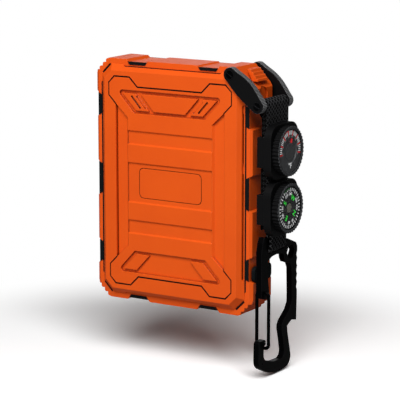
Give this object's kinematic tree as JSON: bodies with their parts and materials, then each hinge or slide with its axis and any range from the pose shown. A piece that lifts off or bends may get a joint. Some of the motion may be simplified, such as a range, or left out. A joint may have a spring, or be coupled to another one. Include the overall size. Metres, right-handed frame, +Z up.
{
  "type": "jump starter pack",
  "caption": "Rugged jump starter pack with a bevelled case, corner bumpers, and a swinging bail that carries a webbing strap with two gauges and a wire-gate carabiner.",
  "frame": {"origin": "centre of the case's flat base, midway between its front and rear faces", "axes": "+X to the side that carries the strap, +Y from the front to the rear face, +Z up"},
  "size_m": [0.1396, 0.0493, 0.1972],
  "materials": {
    "orange": "moulded orange shell",
    "badge": "bare orange badge",
    "black": "black nylon",
    "rubber": "black rubber",
    "webbing": "woven nylon",
    "steel": "plain steel",
    "dark_metal": "black coated steel",
    "gold": "plated contacts",
    "cells": "pouch foil",
    "board": "circuit board",
    "parts": "component bodies",
    "blue": "blue socket body",
    "glass": "clear lens",
    "mirror": "metallised reflector",
    "led": "led phosphor",
    "dial": "printed dial"
  },
  "bodies": {
    "case": {"front_cover": "orange", "front_plate": "orange", "badge": "badge", "mid_frame": "orange", "rear_cover": "orange", "front_gasket": "rubber", "rear_gasket": "rubber", "front_inlays": "rubber", "rear_inlays": "rubber", "corner_bumpers": "orange", "corner_strips": "rubber", "corner_grip": "orange", "side_pad": "rubber", "case_screws": "steel", "battery_cells": "cells", "cell_tray": "black", "cell_tabs": "steel", "control_board": "board", "power_parts": "parts", "jump_socket": "blue", "socket_contacts": "gold", "usb_a_socket": "steel", "usb_c_socket": "steel", "button_switch": "parts", "status_lights": "glass", "torch_lens": "glass", "torch_reflector": "mirror", "torch_led": "led", "cover_pin": "steel"},
    "bail": {"bail_plate_front": "black", "bail_plate_rear": "black", "pivot_pin": "steel", "strap_bar": "steel", "bail_screws": "dark_metal"},
    "strap": {"webbing": "webbing", "webbing_tail": "webbing", "thermometer_holder": "black", "thermometer_ring": "black", "thermometer_dial": "dial", "thermometer_coil": "gold", "thermometer_lens": "glass", "compass_holder": "black", "compass_ring": "black", "compass_capsule": "black", "compass_pivot": "steel", "compass_lens": "glass"},
    "pointer": {"thermometer_pointer": "dial"},
    "card": {"compass_card": "dial"},
    "carabiner": {"carabiner_frame": "dark_metal"},
    "gate": {"wire_gate": "dark_metal"},
    "cover": {"port_cover": "rubber"},
    "button": {"power_button": "rubber"}
  },
  "joints": [
    {"name": "bail_swing", "type": "hinge", "parent": "case", "child": "bail", "pos_m": [0.046, 0, 0.1545], "axis": [0, -1, 0], "range_deg": [0, 100]},
    {"name": "strap_swing", "type": "hinge", "parent": "bail", "child": "strap", "pos_m": [0.06568, 0, 0.13602], "axis": [0, -1, 0], "range_deg": [0, 75]},
    {"name": "carabiner_swing", "type": "hinge", "parent": "strap", "child": "carabiner", "pos_m": [0.06568, 0, 0.04552], "axis": [0, -1, 0], "range_deg": [0, 40]},
    {"name": "gate_swing", "type": "hinge", "parent": "carabiner", "child": "gate", "pos_m": [0.06568, -0.0103, 0.01672], "axis": [1, 0, 0], "range_deg": [0, 22], "stiffness_Nm_per_rad": 0.12, "springref_deg": -5.73},
    {"name": "pointer_turn", "type": "hinge", "parent": "strap", "child": "pointer", "pos_m": [0.06968, 0, 0.10682], "axis": [-1, 0, 0], "range_deg": [-135, 100], "stiffness_Nm_per_rad": 0.0002},
    {"name": "card_turn", "type": "hinge", "parent": "strap", "child": "card", "pos_m": [0.06968, 0, 0.07062], "axis": [1, 0, 0], "continuous": true},
    {"name": "cover_swing", "type": "hinge", "parent": "case", "child": "cover", "pos_m": [-0.0577, 0.0075, 0.0675], "axis": [0, 0, -1], "range_deg": [0, 90]},
    {"name": "button_press", "type": "slide", "parent": "case", "child": "button", "axis": [1, 0, 0], "range_m": [0, 0.0008], "stiffness_N_per_m": 1500, "springref_m": -0.0008}
  ]
}
